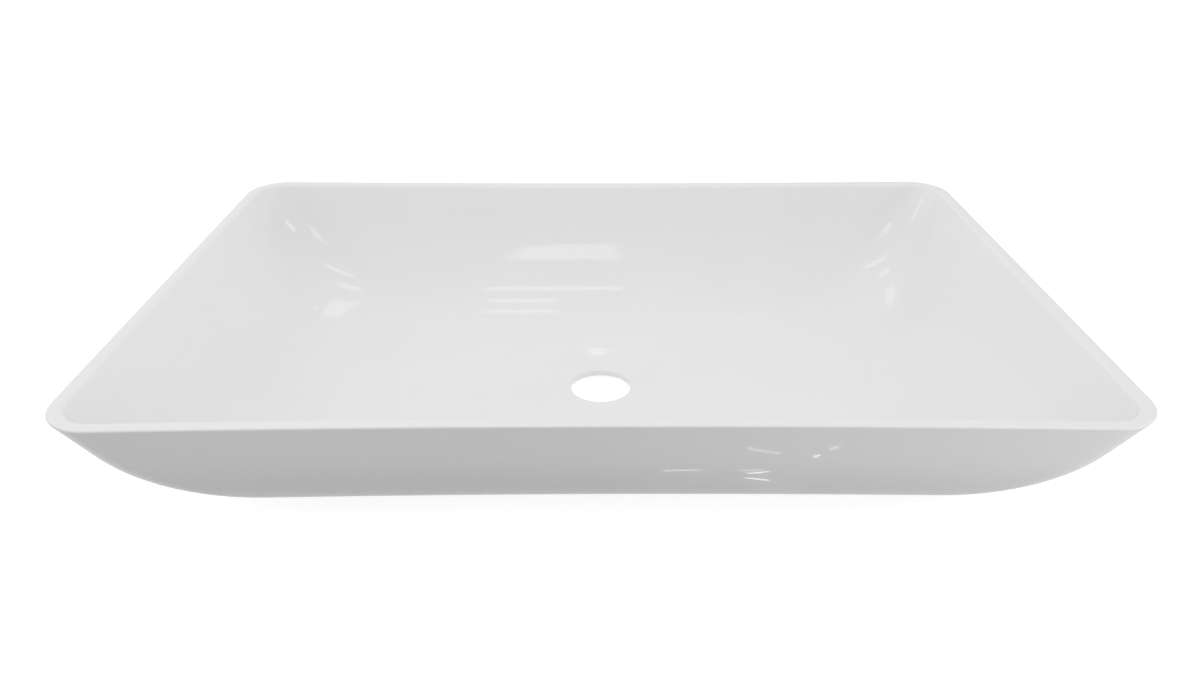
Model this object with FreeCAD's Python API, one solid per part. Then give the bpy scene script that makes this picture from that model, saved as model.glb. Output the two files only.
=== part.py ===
import FreeCAD, Part
import math
import os

from FreeCAD import Vector

# Rectangular vessel sink: a slumped bowl that stands on a counter on four soft pads.
# Millimetres. Origin on the counter, under the middle of the waste hole. +X along the bowl, +Z up.

# Bowl outline at the rim
LENGTH = 565.0
WIDTH = 368.0
HEIGHT = 93.0
RIM_CORNER_RADIUS = 28.0
RIM_DRAW_IN = 3.7

# Bowl section
SHEET = 8.0
WALL_SLOPE_DEG = 73.3
WALL_BEND_RADIUS = 93.0
BASE_CORNER_RADIUS = 60.0
BASE_DRAW_IN = 1.8
RIM_BEVEL = 1.2

# Waste hole, and the dish round it
HOLE_DIAMETER = 41.3
HOLE_TOP_BEVEL = 1.5
HOLE_BOTTOM_BEVEL = 0.6
DISH_DIAMETER = 140.0
DISH_DEPTH = 3.5

# Soft pieces under the base
PAD_DIAMETER = 20.0
PAD_HEIGHT = 2.5
PAD_EDGE_BEVEL = 0.6
PAD_MARGIN = 8.0
SEAL_SETBACK = 9.0
SEAL_WIDTH = 8.0
SEAL_EDGE_BEVEL = 0.6

# Construction
BEND_STATIONS = 7
BEND_DEGREE = 3
CUT_OVERRUN = 5.0
SAME_LEVEL = 0.001

# Worked out from the sizes above
WALL_SLOPE = math.radians(WALL_SLOPE_DEG)
BASE_Z = PAD_HEIGHT
FLOOR_Z = BASE_Z + SHEET
BEND_CENTRE_Z = BASE_Z + WALL_BEND_RADIUS
BEND_TOP_Z = BEND_CENTRE_Z - WALL_BEND_RADIUS * math.cos(WALL_SLOPE)
FLARE_INSET = (HEIGHT - BEND_TOP_Z) / math.tan(WALL_SLOPE)
BASE_INSET = FLARE_INSET + WALL_BEND_RADIUS * math.sin(WALL_SLOPE)
HOLE_RADIUS = HOLE_DIAMETER / 2
SEAL_INNER_RADIUS = HOLE_RADIUS + SEAL_SETBACK
UP = Vector(0, 0, 1)
MIDDLE = Vector(0, 0, 0)


def depth_share(z):
    """How far down the outer wall a level lies: 0 at the rim, 1 at the base."""
    return (HEIGHT - z) / (HEIGHT - BASE_Z)


def plan_corner_radius(z):
    """Corner radius of the outer wall in plan, which grows steadily towards the base."""
    return RIM_CORNER_RADIUS + (BASE_CORNER_RADIUS - RIM_CORNER_RADIUS) * depth_share(z)


def draw_in(z):
    """How far the middle of a long side lies inside its ends at a level."""
    return RIM_DRAW_IN + (BASE_DRAW_IN - RIM_DRAW_IN) * depth_share(z)


def arc(start, through, end):
    return Part.Arc(start, through, end).toShape()


def line(start, end):
    return Part.LineSegment(start, end).toShape()


def outline(half_length, half_width, radius, bow, z):
    """Closed wire: straight short sides, hollow long sides, and corner arcs tangent to both."""
    corner_x = half_length - radius
    corner_y = half_width - radius
    bow_reach = (corner_x ** 2 + bow ** 2) / (2 * bow)
    lean = math.asin(corner_x / bow_reach)
    touch_x = corner_x - radius * math.sin(lean)
    touch_y = corner_y + radius * math.cos(lean)
    half_turn = (math.pi / 2 + lean) / 2
    swell_x = corner_x + radius * math.cos(half_turn)
    swell_y = corner_y + radius * math.sin(half_turn)
    edges = []
    for side in (1, -1):
        end_start = Vector(side * half_length, -side * corner_y, z)
        end_stop = Vector(side * half_length, side * corner_y, z)
        near_swell = Vector(side * swell_x, side * swell_y, z)
        near_touch = Vector(side * touch_x, side * touch_y, z)
        middle = Vector(0, side * (half_width - bow), z)
        far_touch = Vector(-side * touch_x, side * touch_y, z)
        far_swell = Vector(-side * swell_x, side * swell_y, z)
        far_stop = Vector(-side * half_length, side * corner_y, z)
        edges.append(line(end_start, end_stop))
        edges.append(arc(end_stop, near_swell, near_touch))
        edges.append(arc(near_touch, middle, far_touch))
        edges.append(arc(far_touch, far_swell, far_stop))
    return Part.Wire(edges)


def bend_outline(offset, slope):
    """Outline of the face at an offset inside the outer wall, where the bend has this slope."""
    outer_z = BEND_CENTRE_Z - WALL_BEND_RADIUS * math.cos(slope)
    inward = offset * math.sin(slope)
    inset = BASE_INSET - WALL_BEND_RADIUS * math.sin(slope) + inward
    radius = plan_corner_radius(outer_z) - inward
    z = outer_z + offset * math.cos(slope)
    return outline(LENGTH / 2 - inset, WIDTH / 2 - inset, radius, draw_in(outer_z), z)


def rim_outline(inset, depth):
    """Outline near the rim, this far inside its outer edge and this far below its top."""
    radius = RIM_CORNER_RADIUS - inset
    return outline(LENGTH / 2 - inset, WIDTH / 2 - inset, radius, RIM_DRAW_IN, HEIGHT - depth)


def wall_solid(offset, bevel_inward):
    """Solid inside a wall face: flat floor, one bend, a straight flare, and the rim's bevelled edge."""
    bend = []
    for station in range(BEND_STATIONS):
        bend.append(bend_outline(offset, WALL_SLOPE * station / (BEND_STATIONS - 1)))
    edge_inset = offset / math.sin(WALL_SLOPE)
    bevel_foot = rim_outline(edge_inset + RIM_BEVEL * math.cos(WALL_SLOPE), RIM_BEVEL * math.sin(WALL_SLOPE))
    bevel_top = rim_outline(edge_inset + bevel_inward, 0)
    bend_solid = Part.makeLoft(bend, True, False, False, BEND_DEGREE)
    rim_solid = Part.makeLoft([bend[-1], bevel_foot, bevel_top], True, True)
    mouth = Part.Face(bevel_top).extrude(UP * CUT_OVERRUN)
    return bend_solid.fuse(rim_solid), mouth


def turned(edges):
    """Solid of revolution about Z from a closed profile in the XZ plane."""
    return Part.Face(Part.Wire(edges)).revolve(MIDDLE, UP, 360)


def dish_and_hole():
    """Cutter for the waste: a dish that falls from the floor in an S, then the hole with bevelled edges."""
    dish_radius = DISH_DIAMETER / 2
    lip_radius = HOLE_RADIUS + HOLE_TOP_BEVEL
    lip_z = FLOOR_Z - DISH_DEPTH
    fall_width = dish_radius - lip_radius
    fall_arc = (fall_width ** 2 + DISH_DEPTH ** 2) / (4 * DISH_DEPTH)
    quarter_fall = math.atan(DISH_DEPTH / fall_width)
    bulge_r = fall_arc * math.sin(quarter_fall)
    bulge_z = fall_arc * (1 - math.cos(quarter_fall))

    top = Vector(0, 0, FLOOR_Z + CUT_OVERRUN)
    top_edge = Vector(dish_radius, 0, FLOOR_Z + CUT_OVERRUN)
    dish_edge = Vector(dish_radius, 0, FLOOR_Z)
    fall_upper = Vector(dish_radius - bulge_r, 0, FLOOR_Z - bulge_z)
    fall_middle = Vector((dish_radius + lip_radius) / 2, 0, FLOOR_Z - DISH_DEPTH / 2)
    fall_lower = Vector(lip_radius + bulge_r, 0, lip_z + bulge_z)
    lip = Vector(lip_radius, 0, lip_z)
    bore_top = Vector(HOLE_RADIUS, 0, lip_z - HOLE_TOP_BEVEL)
    bore_bottom = Vector(HOLE_RADIUS, 0, BASE_Z + HOLE_BOTTOM_BEVEL)
    under_lip = Vector(HOLE_RADIUS + HOLE_BOTTOM_BEVEL, 0, BASE_Z)
    bottom_edge = Vector(HOLE_RADIUS + HOLE_BOTTOM_BEVEL, 0, BASE_Z - CUT_OVERRUN)
    bottom = Vector(0, 0, BASE_Z - CUT_OVERRUN)
    return turned([
        line(top, top_edge),
        line(top_edge, dish_edge),
        arc(dish_edge, fall_upper, fall_middle),
        arc(fall_middle, fall_lower, lip),
        line(lip, bore_top),
        line(bore_top, bore_bottom),
        line(bore_bottom, under_lip),
        line(under_lip, bottom_edge),
        line(bottom_edge, bottom),
        line(bottom, top),
    ])


def glass_bowl():
    """The slumped sheet: rim ground flat with bevelled edges, dish and waste hole in the floor."""
    outside, _ = wall_solid(0, RIM_BEVEL)
    inside, mouth = wall_solid(SHEET, -RIM_BEVEL)
    return outside.cut([inside, mouth, dish_and_hole()])


def base_pad(side_x, side_y):
    """Round stick-on pad near one corner of the flat base, with its lower edge bevelled."""
    corner_x = LENGTH / 2 - BASE_INSET - BASE_CORNER_RADIUS
    corner_y = WIDTH / 2 - BASE_INSET - BASE_CORNER_RADIUS
    reach = (BASE_CORNER_RADIUS - PAD_MARGIN - PAD_DIAMETER / 2) * math.sqrt(0.5)
    place = Vector(side_x * (corner_x + reach), side_y * (corner_y + reach), 0)
    pad = Part.makeCylinder(PAD_DIAMETER / 2, PAD_HEIGHT, place)
    lower_edges = [edge for edge in pad.Edges if edge.BoundBox.ZMax < SAME_LEVEL]
    return pad.makeChamfer(PAD_EDGE_BEVEL, lower_edges)


def seal_ring():
    """Flat soft ring between base and counter, round the waste hole, with its lower edges bevelled."""
    outer = Part.makeCylinder(SEAL_INNER_RADIUS + SEAL_WIDTH, PAD_HEIGHT)
    ring = outer.cut(Part.makeCylinder(SEAL_INNER_RADIUS, PAD_HEIGHT))
    lower_edges = [edge for edge in ring.Edges if edge.BoundBox.ZMax < SAME_LEVEL]
    return ring.makeChamfer(SEAL_EDGE_BEVEL, lower_edges)


def save(node, shape):
    print(node, "valid" if shape.isValid() else "INVALID", "solids", len(shape.Solids),
          "volume", round(shape.Volume), "box", shape.BoundBox)
    shape.exportStep(os.path.join("parts", node + ".step"))


os.makedirs("parts", exist_ok=True)
save("glass_bowl", glass_bowl())
save("seal_ring", seal_ring())
for row, side_y in (("front", -1), ("rear", 1)):
    for hand, side_x in (("left", -1), ("right", 1)):
        save("base_pad_" + row + "_" + hand, base_pad(side_x, side_y))
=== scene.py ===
import math

import bpy
from mathutils import Matrix, Vector


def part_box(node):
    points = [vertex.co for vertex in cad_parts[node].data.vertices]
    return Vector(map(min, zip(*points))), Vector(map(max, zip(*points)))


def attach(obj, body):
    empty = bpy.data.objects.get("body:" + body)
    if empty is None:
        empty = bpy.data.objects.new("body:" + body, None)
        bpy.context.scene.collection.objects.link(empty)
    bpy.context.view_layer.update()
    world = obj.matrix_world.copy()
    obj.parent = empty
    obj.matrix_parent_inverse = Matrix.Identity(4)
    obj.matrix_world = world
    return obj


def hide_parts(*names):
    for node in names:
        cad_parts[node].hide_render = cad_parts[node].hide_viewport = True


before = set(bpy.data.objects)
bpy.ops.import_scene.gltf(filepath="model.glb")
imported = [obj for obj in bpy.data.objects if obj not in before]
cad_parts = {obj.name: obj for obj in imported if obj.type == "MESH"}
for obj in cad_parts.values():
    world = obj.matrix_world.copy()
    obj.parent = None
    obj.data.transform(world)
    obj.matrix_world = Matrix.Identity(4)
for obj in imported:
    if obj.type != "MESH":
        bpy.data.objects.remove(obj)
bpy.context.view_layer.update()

# Rectangular vessel sink on a pale counter. Metres, in the part's own frame.
# Origin on the counter, under the middle of the waste hole. +X along the bowl, +Y to its back, +Z up.

# Bowl outline and section, as in the solid
SHEET = 0.008
WALL_SLOPE = math.radians(73.3)
WALL_BEND_RADIUS = 0.093
RIM_CORNER_RADIUS = 0.028
BASE_CORNER_RADIUS = 0.060
RIM_DRAW_IN = 0.0037
BASE_DRAW_IN = 0.0018

# Rim edges: the bevel of the solid, and the rounding that takes its place here
RIM_BEVEL = 0.0012
RIM_OUTER_ROUND = 0.001
RIM_INNER_ROUND = 0.003

# Waste hole with rounded edges, and the dish round it
HOLE_RADIUS = 0.02065
HOLE_TOP_ROUND = 0.0015
HOLE_BOTTOM_ROUND = 0.0006
DISH_RADIUS = 0.070
DISH_DEPTH = 0.0035

# Mesh of the bowl: spaces along parts of a ring, then along parts of the section
END_SPACES = 16
CORNER_SPACES = 28
SIDE_SPACES = 64
BEND_SPACES = 32
FLARE_SPACES = 4
ROUND_SPACES = 8
DISH_SPACES = 12

# How close to a bend an extra ring lies, so that flat faces stay flat under smooth shading
EDGE_SUPPORT = 0.0002
FLAT_SUPPORT = 0.0015

# Worked out from the sizes above and from the solid's box.
# The bevel takes a little off that box, and is added again for the walls' full reach.
bowl_low, bowl_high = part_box("glass_bowl")
BASE_Z = bowl_low.z
RIM_Z = bowl_high.z
FLOOR_Z = BASE_Z + SHEET
HALF_LENGTH = bowl_high.x + RIM_BEVEL * math.cos(WALL_SLOPE)
HALF_WIDTH = bowl_high.y + RIM_BEVEL * math.cos(WALL_SLOPE)
BEND_CENTRE_Z = BASE_Z + WALL_BEND_RADIUS
BEND_TOP_Z = BEND_CENTRE_Z - WALL_BEND_RADIUS * math.cos(WALL_SLOPE)
FLARE_INSET = (RIM_Z - BEND_TOP_Z) / math.tan(WALL_SLOPE)
BASE_INSET = FLARE_INSET + WALL_BEND_RADIUS * math.sin(WALL_SLOPE)
LIP_RADIUS = HOLE_RADIUS + HOLE_TOP_ROUND
LIP_Z = FLOOR_Z - DISH_DEPTH

# Noise in the materials is given by its scale, in patches to the metre, and its detail.
# Most of its values lie in the middle of its range, and that part is spread between two results.
NOISE_SHARES = (0.3, 0.7)
FULL_SHARES = (0.0, 1.0)

# White glass: faint clouds, polish, and slow waves in the sheet
GLASS_CLOUDS = (9.0, 2.0)
GLASS_COLOURS = ((0.945, 0.945, 0.945, 1.0), (0.962, 0.962, 0.962, 1.0))
GLASS_POLISH = (30.0, 3.0)
GLASS_ROUGHNESS = (0.05, 0.09)
GLASS_WAVES = (16.0, 1.0)
GLASS_WAVE_DEPTH = 0.0002
GLASS_IOR = 1.5

# Clear silicone: haze, and a satin grain
SILICONE_HAZE = (60.0, 2.0)
SILICONE_COLOURS = ((0.80, 0.81, 0.82, 1.0), (0.88, 0.88, 0.88, 1.0))
SILICONE_GRAIN = (400.0, 2.0)
SILICONE_ROUGHNESS = (0.3, 0.45)
SILICONE_CLEAR_SHARE = 0.6
SILICONE_IOR = 1.41

# Black rubber: patches, and a matte grain
RUBBER_PATCHES = (80.0, 3.0)
RUBBER_COLOURS = ((0.03, 0.03, 0.03, 1.0), (0.05, 0.05, 0.05, 1.0))
RUBBER_GRAIN = (500.0, 2.0)
RUBBER_ROUGHNESS = (0.5, 0.7)

# Dull counter: its own colour, and its glow to the eye and in mirrors
WHITE = (1.0, 1.0, 1.0, 1.0)
COUNTER_HALF_SIZE = 6.0
COUNTER_COLOUR = (0.40, 0.40, 0.40, 1.0)
COUNTER_ROUGHNESS = 1.0
COUNTER_SPECULAR = 0.0
COUNTER_GLOW = 0.865
COUNTER_MIRRORED_GLOW = 0.58

# Room in mirrors: its level in the middle, and by how much it rises to the left and falls to the right
MIRRORED_ROOM_LEVEL = 0.75
MIRRORED_ROOM_LEAN = 0.33

# Dome of soft light: level at the horizon and overhead, and what the far left and right add.
# The added part grows with the square of how far sideways a direction points, from the middle.
HORIZON_LEVEL = 0.44
ZENITH_LEVEL = 0.735
SIDE_LEVEL = 0.50
SIDE_MIDDLE_SHARE = 0.015

# Ceiling panels: left, right, near and far edge, and brightness, where 1 is white
PANEL_Z = 1.5
PANELS = {
    "front_left": (-0.245, -0.115, -1.31, -0.70, 1.65),
    "front_right": (-0.115, 0.065, -1.42, -0.70, 1.65),
    "first": (-0.276, 0.066, 0.20, 0.32, 1.65),
    "second": (-0.277, -0.10, 0.62, 0.775, 1.35),
    "third": (-0.31, -0.113, 1.15, 1.65, 0.95),
    "small": (0.0, 0.035, 1.52, 1.60, 2.4),
    "left": (-1.65, -1.35, -0.42, -0.18, 2.0),
    "right": (0.68, 1.34, -0.42, -0.20, 3.0),
}

# Card at the right front, low down: its middle, the place that it faces, its size and brightness
CARD_PLACE = Vector((0.42, -0.42, 0.05))
CARD_AIM = Vector((0.12, -0.17, 0.05))
CARD_WIDTH = 0.36
CARD_HEIGHT = 0.08
CARD_LEVEL = 2.4

# Light on the ground under the waste hole
HOLE_LAMP_PLACE = Vector((0.0, 0.0, 0.0005))
HOLE_LAMP_WIDTH = 0.040
HOLE_LAMP_LEVEL = 0.42

# Thin strips of light on the counter: the two ends of each, and its brightness in a full spread.
# They shine up in a narrow one, which is brighter, so that they glint to the front and not to the sides.
GLINT_Z = 0.001
GLINT_WIDTH = 0.0015
GLINT_SPREAD = math.radians(80)
GLINTS = {
    "long": ((0.035, -0.179), (0.057, -0.180), 0.79),
    "upper": ((0.079, -0.180), (0.093, -0.181), 0.68),
    "middle": ((0.083, -0.174), (0.096, -0.178), 1.4),
    "lower": ((0.082, -0.166), (0.096, -0.162), 1.0),
    "slanted": ((0.085, -0.210), (0.104, -0.206), 1.04),
    "near": ((0.122, -0.203), (0.126, -0.205), 2.6),
    "rising": ((0.132, -0.210), (0.139, -0.213), 1.52),
}

# Camera, fitted to the photograph, with its angles in radians
IMAGE_WIDTH_PX = 1200
FOCAL_PX = 943.5
SENSOR_WIDTH_MM = 36.0
CAMERA_PLACE = Vector((-0.00607, -0.56655, 0.35137))
CAMERA_PITCH = 0.49576
CAMERA_YAW = 0.00969
CAMERA_ROLL = 0.00257


def depth_share(z):
    """How far down the outer wall a level lies: 0 at the rim, 1 at the base."""
    return (RIM_Z - z) / (RIM_Z - BASE_Z)


def plan_corner_radius(z):
    """Corner radius of the outer wall in plan, which grows steadily towards the base."""
    return RIM_CORNER_RADIUS + (BASE_CORNER_RADIUS - RIM_CORNER_RADIUS) * depth_share(z)


def draw_in(z):
    """How far the middle of a long side lies inside its ends at a level."""
    return RIM_DRAW_IN + (BASE_DRAW_IN - RIM_DRAW_IN) * depth_share(z)


def steps(count):
    """Shares from 0 to 1 in equal steps, both ends included."""
    return [index / count for index in range(count + 1)]


def outline_ring(inset, radius, bow, z):
    """Ring of points: straight short sides, hollow long sides, and corner arcs tangent to both."""
    corner_x = HALF_LENGTH - inset - radius
    corner_y = HALF_WIDTH - inset - radius
    bow_reach = (corner_x ** 2 + bow ** 2) / (2 * bow)
    bow_radius = bow_reach - radius
    bow_centre_y = HALF_WIDTH - inset - bow + bow_radius
    lean = math.asin(corner_x / bow_reach)
    turn = math.pi / 2 + lean
    half_ring = []
    for share in steps(END_SPACES)[:-1]:
        half_ring.append((corner_x + radius, corner_y * (2 * share - 1)))
    for share in steps(CORNER_SPACES)[:-1]:
        angle = turn * share
        half_ring.append((corner_x + radius * math.cos(angle), corner_y + radius * math.sin(angle)))
    for share in steps(SIDE_SPACES)[:-1]:
        angle = lean * (1 - 2 * share)
        half_ring.append((bow_radius * math.sin(angle), bow_centre_y - bow_radius * math.cos(angle)))
    for share in steps(CORNER_SPACES)[:-1]:
        angle = turn * (1 - share)
        half_ring.append((-corner_x - radius * math.cos(angle), corner_y + radius * math.sin(angle)))
    ring = [Vector((x, y, z)) for x, y in half_ring]
    return ring + [Vector((-x, -y, z)) for x, y in half_ring]


def round_ring(radius, z, guide):
    """Circle whose points lie in the directions of the guide ring's points."""
    ring = []
    for point in guide:
        angle = math.atan2(point.y, point.x)
        ring.append(Vector((radius * math.cos(angle), radius * math.sin(angle), z)))
    return ring


def mixed_ring(start, stop, share):
    """Ring that lies this share of the way from one ring to another."""
    return [first.lerp(last, share) for first, last in zip(start, stop)]


def bend_rings(offset):
    """The bend of the face at an offset inside the outer wall, from the flat up to the flare."""
    rings = []
    for share in steps(BEND_SPACES):
        slope = WALL_SLOPE * share
        outer_z = BEND_CENTRE_Z - WALL_BEND_RADIUS * math.cos(slope)
        inward = offset * math.sin(slope)
        inset = BASE_INSET - WALL_BEND_RADIUS * math.sin(slope) + inward
        radius = plan_corner_radius(outer_z) - inward
        rings.append(outline_ring(inset, radius, draw_in(outer_z), outer_z + offset * math.cos(slope)))
    return rings


def flare_rings(bend_top, rim_foot):
    """The straight flare between the top of a bend and the foot of a rim edge, both left out."""
    length = (rim_foot[0] - bend_top[0]).length
    shares = steps(FLARE_SPACES)[1:-1] + [1 - EDGE_SUPPORT / length]
    return [mixed_ring(bend_top, rim_foot, share) for share in shares]


def rim_edge_rings(edge_radius, centre_inset, start_angle, stop_angle):
    """One rounded edge of the rim, between two directions measured up from straight outward."""
    rings = []
    for share in steps(ROUND_SPACES):
        angle = start_angle + (stop_angle - start_angle) * share
        inset = centre_inset - edge_radius * math.cos(angle)
        z = RIM_Z - edge_radius * (1 - math.sin(angle))
        rings.append(outline_ring(inset, RIM_CORNER_RADIUS - inset, RIM_DRAW_IN, z))
    return rings


def rim_rings():
    """Rounded outer edge, flat top, rounded inner edge, each tangent to the next and to the wall."""
    upright = math.pi / 2
    rim_width = SHEET / math.sin(WALL_SLOPE)
    outer_centre = RIM_OUTER_ROUND / math.tan(WALL_SLOPE / 2)
    inner_centre = rim_width - RIM_INNER_ROUND * math.tan(WALL_SLOPE / 2)
    outer = rim_edge_rings(RIM_OUTER_ROUND, outer_centre, WALL_SLOPE - upright, upright)
    inner = rim_edge_rings(RIM_INNER_ROUND, inner_centre, upright, upright + WALL_SLOPE)
    support_share = EDGE_SUPPORT / (inner_centre - outer_centre)
    flat = [mixed_ring(outer[-1], inner[0], share) for share in (support_share, 1 - support_share)]
    return outer + flat + inner


def dish_profile():
    """Radius and level from the flat floor down to the hole's lip: two equal arcs that make an S."""
    fall_width = DISH_RADIUS - LIP_RADIUS
    fall_arc = (fall_width ** 2 + DISH_DEPTH ** 2) / (4 * DISH_DEPTH)
    fall_turn = 2 * math.atan(DISH_DEPTH / fall_width)
    profile = [(DISH_RADIUS + FLAT_SUPPORT, FLOOR_Z)]
    for share in steps(DISH_SPACES):
        angle = fall_turn * share
        drop = fall_arc * (1 - math.cos(angle))
        profile.append((DISH_RADIUS - fall_arc * math.sin(angle), FLOOR_Z - drop))
    for share in steps(DISH_SPACES)[1:]:
        angle = fall_turn * (1 - share)
        rise = fall_arc * (1 - math.cos(angle))
        profile.append((LIP_RADIUS + fall_arc * math.sin(angle), LIP_Z + rise))
    return profile


def hole_profile():
    """Radius and level from the lip down: rounded edge, wall, rounded edge, and the flat base."""
    profile = []
    for share in steps(ROUND_SPACES)[1:]:
        angle = math.pi / 2 * share
        drop = HOLE_TOP_ROUND * (1 - math.cos(angle))
        profile.append((LIP_RADIUS - HOLE_TOP_ROUND * math.sin(angle), LIP_Z - drop))
    profile.append((HOLE_RADIUS, LIP_Z - HOLE_TOP_ROUND - EDGE_SUPPORT))
    profile.append((HOLE_RADIUS, BASE_Z + HOLE_BOTTOM_ROUND + EDGE_SUPPORT))
    for share in steps(ROUND_SPACES):
        angle = math.pi / 2 * share
        widening = HOLE_BOTTOM_ROUND * (1 - math.cos(angle))
        profile.append((HOLE_RADIUS + widening, BASE_Z + HOLE_BOTTOM_ROUND * (1 - math.sin(angle))))
    profile.append((HOLE_RADIUS + HOLE_BOTTOM_ROUND + FLAT_SUPPORT, BASE_Z))
    return profile


def waste_rings(guide):
    """The dish and the hole, with points in the directions of the guide ring's points."""
    return [round_ring(radius, z, guide) for radius, z in dish_profile() + hole_profile()]


def flat_ring(z):
    """Ring just inside the edge of the flat base or floor."""
    return outline_ring(BASE_INSET + FLAT_SUPPORT, BASE_CORNER_RADIUS - FLAT_SUPPORT, BASE_DRAW_IN, z)


def bowl_rings():
    """All rings of the bowl's skin: up the outside, over the rim, down the inside, through the hole."""
    outside = bend_rings(0)
    inside = bend_rings(SHEET)
    rim = rim_rings()
    rings = [flat_ring(BASE_Z)] + outside
    rings += flare_rings(outside[-1], rim[0])
    rings += rim
    rings += flare_rings(inside[-1], rim[-1])[::-1]
    rings += inside[::-1] + [flat_ring(FLOOR_Z)]
    return rings + waste_rings(inside[0])


def skin(name, rings):
    """Smooth closed mesh: each ring is joined to the next, and the last to the first."""
    count = len(rings[0])
    points = [point for ring in rings for point in ring]
    faces = []
    for row in range(len(rings)):
        this_row = row * count
        next_row = (row + 1) % len(rings) * count
        for column in range(count):
            after = (column + 1) % count
            faces.append((this_row + column, this_row + after, next_row + after, next_row + column))
    mesh = bpy.data.meshes.new(name)
    mesh.from_pydata(points, [], faces)
    mesh.shade_smooth()
    piece = bpy.data.objects.new(name, mesh)
    bpy.context.scene.collection.objects.link(piece)
    return piece


def ramp(tree, value, value_ends, result_ends):
    """Runs evenly from one result to another while the value runs from one end to the other."""
    spread = tree.nodes.new("ShaderNodeMapRange")
    spread.inputs["From Min"].default_value = value_ends[0]
    spread.inputs["From Max"].default_value = value_ends[1]
    spread.inputs["To Min"].default_value = result_ends[0]
    spread.inputs["To Max"].default_value = result_ends[1]
    tree.links.new(value, spread.inputs["Value"])
    return spread.outputs["Result"]


def combined(tree, operation, first, second):
    """What an operation makes of two values."""
    result = tree.nodes.new("ShaderNodeMath")
    result.operation = operation
    tree.links.new(first, result.inputs[0])
    tree.links.new(second, result.inputs[1])
    return result.outputs["Value"]


def scaled_sum(tree, value, factor, addend):
    """A value times a factor, plus an addend that is a number or another value of the tree."""
    total = tree.nodes.new("ShaderNodeMath")
    total.operation = "MULTIPLY_ADD"
    total.inputs[1].default_value = factor
    tree.links.new(value, total.inputs[0])
    if isinstance(addend, float):
        total.inputs[2].default_value = addend
    else:
        tree.links.new(addend, total.inputs[2])
    return total.outputs["Value"]


def chosen(tree, switch, off, on):
    """The second value where the switch is 1, the first where it is 0."""
    choice = tree.nodes.new("ShaderNodeMix")
    tree.links.new(switch, choice.inputs["Factor"])
    tree.links.new(off, choice.inputs["A"])
    tree.links.new(on, choice.inputs["B"])
    return choice.outputs["Result"]


def new_material(name):
    """Plain material: returns it, its node tree and its principled shader."""
    material = bpy.data.materials.new(name)
    material.use_nodes = True
    tree = material.node_tree
    return material, tree, tree.nodes["Principled BSDF"]


def noise_range(tree, grain, result_ends):
    """Noise that stays in place on the object, spread between two results."""
    scale, detail = grain
    place = tree.nodes.new("ShaderNodeTexCoord")
    noise = tree.nodes.new("ShaderNodeTexNoise")
    noise.inputs["Scale"].default_value = scale
    noise.inputs["Detail"].default_value = detail
    tree.links.new(place.outputs["Object"], noise.inputs["Vector"])
    return ramp(tree, noise.outputs["Fac"], NOISE_SHARES, result_ends)


def noise_colour(tree, grain, colours):
    """Noise as a blend of two colours."""
    blend = tree.nodes.new("ShaderNodeMix")
    blend.data_type = "RGBA"
    blend.inputs["A"].default_value, blend.inputs["B"].default_value = colours
    tree.links.new(noise_range(tree, grain, FULL_SHARES), blend.inputs["Factor"])
    return blend.outputs["Result"]


def noise_bump(tree, grain, depth):
    """Noise as relief of the surface, this deep."""
    relief = tree.nodes.new("ShaderNodeBump")
    relief.inputs["Distance"].default_value = depth
    tree.links.new(noise_range(tree, grain, FULL_SHARES), relief.inputs["Height"])
    return relief.outputs["Normal"]


def white_glass():
    """Opal white glass, fire-polished: faint clouds, and slow waves that bend the reflections."""
    material, tree, shader = new_material("white_glass")
    shader.inputs["IOR"].default_value = GLASS_IOR
    tree.links.new(noise_colour(tree, GLASS_CLOUDS, GLASS_COLOURS), shader.inputs["Base Color"])
    tree.links.new(noise_range(tree, GLASS_POLISH, GLASS_ROUGHNESS), shader.inputs["Roughness"])
    tree.links.new(noise_bump(tree, GLASS_WAVES, GLASS_WAVE_DEPTH), shader.inputs["Normal"])
    return material


def clear_silicone():
    """Hazy clear silicone with a satin face."""
    material, tree, shader = new_material("clear_silicone")
    shader.inputs["Transmission Weight"].default_value = SILICONE_CLEAR_SHARE
    shader.inputs["IOR"].default_value = SILICONE_IOR
    tree.links.new(noise_colour(tree, SILICONE_HAZE, SILICONE_COLOURS), shader.inputs["Base Color"])
    tree.links.new(noise_range(tree, SILICONE_GRAIN, SILICONE_ROUGHNESS), shader.inputs["Roughness"])
    return material


def seal_rubber():
    """Black rubber with a matte face."""
    material, tree, shader = new_material("seal_rubber")
    tree.links.new(noise_colour(tree, RUBBER_PATCHES, RUBBER_COLOURS), shader.inputs["Base Color"])
    tree.links.new(noise_range(tree, RUBBER_GRAIN, RUBBER_ROUGHNESS), shader.inputs["Roughness"])
    return material


def looked_at_share(tree, path):
    """1 for rays that look straight at a background, from the camera or through glass, and else 0."""
    return combined(tree, "MAXIMUM", path.outputs["Is Camera Ray"], path.outputs["Is Transmission Ray"])


def counter_white():
    """Dull grey that glows by itself where it is looked at or mirrored: white, with a soft shadow."""
    material, tree, shader = new_material("counter")
    shader.inputs["Base Color"].default_value = COUNTER_COLOUR
    shader.inputs["Roughness"].default_value = COUNTER_ROUGHNESS
    shader.inputs["Specular IOR Level"].default_value = COUNTER_SPECULAR
    shader.inputs["Emission Color"].default_value = WHITE
    path = tree.nodes.new("ShaderNodeLightPath")
    mirrored = scaled_sum(tree, path.outputs["Is Glossy Ray"], COUNTER_MIRRORED_GLOW, 0.0)
    glow = scaled_sum(tree, looked_at_share(tree, path), COUNTER_GLOW, mirrored)
    tree.links.new(glow, shader.inputs["Emission Strength"])
    return material


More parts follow.
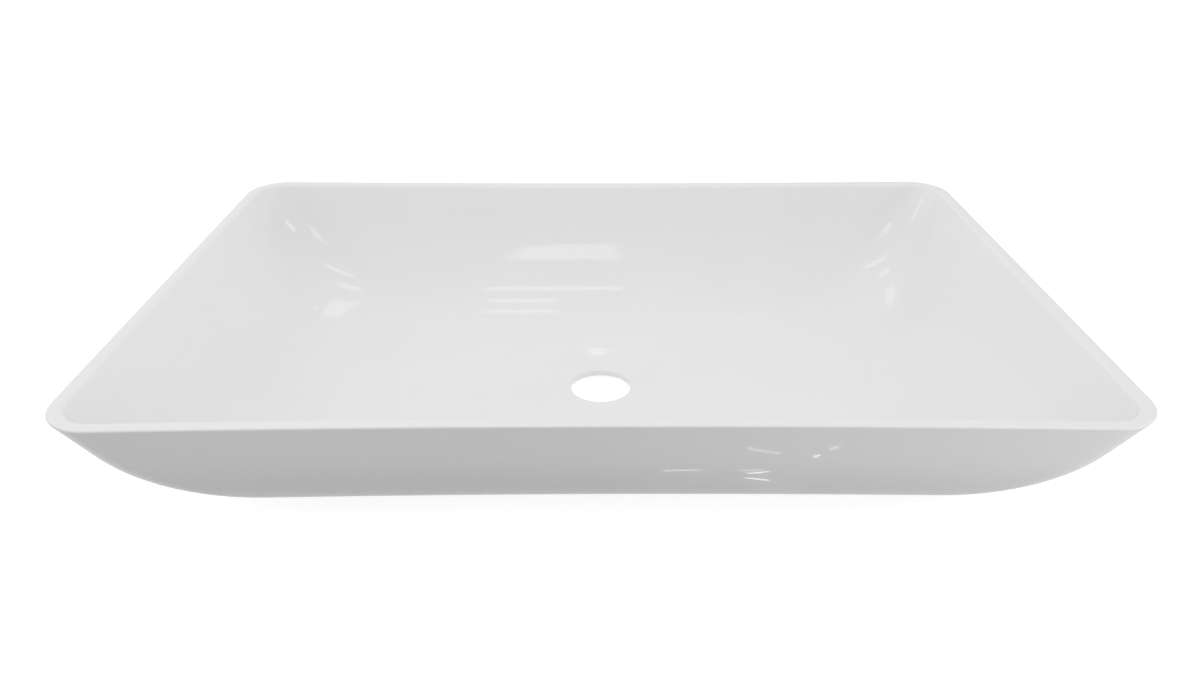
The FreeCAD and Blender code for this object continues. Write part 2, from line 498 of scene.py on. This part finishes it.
def counter():
    """Pale level counter under the bowl."""
    mesh = bpy.data.meshes.new("counter")
    half = COUNTER_HALF_SIZE
    corners = [(-half, -half, 0), (half, -half, 0), (half, half, 0), (-half, half, 0)]
    mesh.from_pydata(corners, [], [(0, 1, 2, 3)])
    mesh.materials.append(counter_white())
    floor = bpy.data.objects.new("counter", mesh)
    bpy.context.scene.collection.objects.link(floor)


def dome_level(tree, direction):
    """Soft light from all round, brightest overhead and at the sides."""
    rising = ramp(tree, direction.outputs["Z"], FULL_SHARES, (HORIZON_LEVEL, ZENITH_LEVEL))
    sideways = scaled_sum(tree, direction.outputs["X"], 1.0, -SIDE_MIDDLE_SHARE)
    return scaled_sum(tree, combined(tree, "MULTIPLY", sideways, sideways), SIDE_LEVEL, rising)


def room():
    """White where it is looked at, brighter at the left in mirrors, and for the light a dome."""
    world = bpy.data.worlds.new("room")
    world.use_nodes = True
    tree = world.node_tree
    backdrop = tree.nodes["Background"]
    backdrop.inputs["Color"].default_value = WHITE
    path = tree.nodes.new("ShaderNodeLightPath")
    place = tree.nodes.new("ShaderNodeTexCoord")
    direction = tree.nodes.new("ShaderNodeSeparateXYZ")
    tree.links.new(place.outputs["Generated"], direction.inputs["Vector"])
    mirrored = scaled_sum(tree, direction.outputs["X"], -MIRRORED_ROOM_LEAN, MIRRORED_ROOM_LEVEL)
    unseen = chosen(tree, path.outputs["Is Glossy Ray"], dome_level(tree, direction), mirrored)
    seen = looked_at_share(tree, path)
    # Where it is looked at, that share of 1 is the strength of white as well
    tree.links.new(chosen(tree, seen, unseen, seen), backdrop.inputs["Strength"])
    bpy.context.scene.world = world


def turned(angle, axis):
    """Turn about one of the three axes."""
    return Matrix.Rotation(angle, 4, axis)


def flat_lamp(name, width, height, level, place, turn):
    """Rectangular lamp of an even brightness that the camera doesn't see. Unturned it shines down."""
    lamp = bpy.data.lights.new(name, "AREA")
    lamp.shape = "RECTANGLE"
    lamp.size = width
    lamp.size_y = height
    lamp.energy = level * math.pi * width * height
    panel = bpy.data.objects.new(name, lamp)
    panel.matrix_world = Matrix.Translation(place) @ turn
    panel.visible_camera = False
    bpy.context.scene.collection.objects.link(panel)
    return lamp


def ceiling_panels():
    """Panels whose mirror images lie on the back wall, in the corners and in the dish."""
    for name, (left, right, near, far, level) in PANELS.items():
        place = Vector(((left + right) / 2, (near + far) / 2, PANEL_Z))
        flat_lamp("panel_" + name, right - left, far - near, level, place, Matrix())


def card():
    """Pale card below the level of the rim, that lights the right of the outer front."""
    turn = (CARD_PLACE - CARD_AIM).to_track_quat("Z", "Y").to_matrix().to_4x4()
    flat_lamp("card", CARD_WIDTH, CARD_HEIGHT, CARD_LEVEL, CARD_PLACE, turn)


def ground_under_hole():
    """Bright ground that lights the wall of the waste hole from below."""
    upward = turned(math.pi, "X")
    flat_lamp("under_hole", HOLE_LAMP_WIDTH, HOLE_LAMP_WIDTH, HOLE_LAMP_LEVEL, HOLE_LAMP_PLACE, upward)


def glints():
    """Thin strips of light whose mirror images glint in the outer front."""
    upward = turned(math.pi, "X")
    for name, (start, stop, level) in GLINTS.items():
        run = Vector(stop) - Vector(start)
        middle = (Vector(start) + Vector(stop)) / 2
        place = Vector((middle.x, middle.y, GLINT_Z))
        turn = turned(math.atan2(run.y, run.x), "Z") @ upward
        glint = flat_lamp("glint_" + name, run.length, GLINT_WIDTH, level, place, turn)
        glint.spread = GLINT_SPREAD


def photo_camera():
    """Camera at the photograph's viewing angle: in front of the bowl, looking down into it."""
    lens = bpy.data.cameras.new("photo_camera")
    lens.sensor_width = SENSOR_WIDTH_MM
    lens.lens = SENSOR_WIDTH_MM * FOCAL_PX / IMAGE_WIDTH_PX
    camera = bpy.data.objects.new("photo_camera", lens)
    aim = turned(-CAMERA_YAW, "Z") @ turned(math.pi / 2 - CAMERA_PITCH, "X")
    camera.matrix_world = Matrix.Translation(CAMERA_PLACE) @ aim @ turned(CAMERA_ROLL, "Z")
    bpy.context.scene.collection.objects.link(camera)
    bpy.context.scene.camera = camera


def paint(node, material):
    """Gives a solid that is shown as it is its one material."""
    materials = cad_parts[node].data.materials
    materials.clear()
    materials.append(material)


photo_camera()
room()
ceiling_panels()
card()
ground_under_hole()
glints()
counter()

bowl = skin("white_bowl", bowl_rings())
bowl.data.materials.append(white_glass())
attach(bowl, "root")
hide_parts("glass_bowl")

silicone = clear_silicone()
for row in ("front", "rear"):
    for hand in ("left", "right"):
        paint("base_pad_" + row + "_" + hand, silicone)
paint("seal_ring", seal_rubber())

bpy.context.scene.view_settings.view_transform = "Standard"
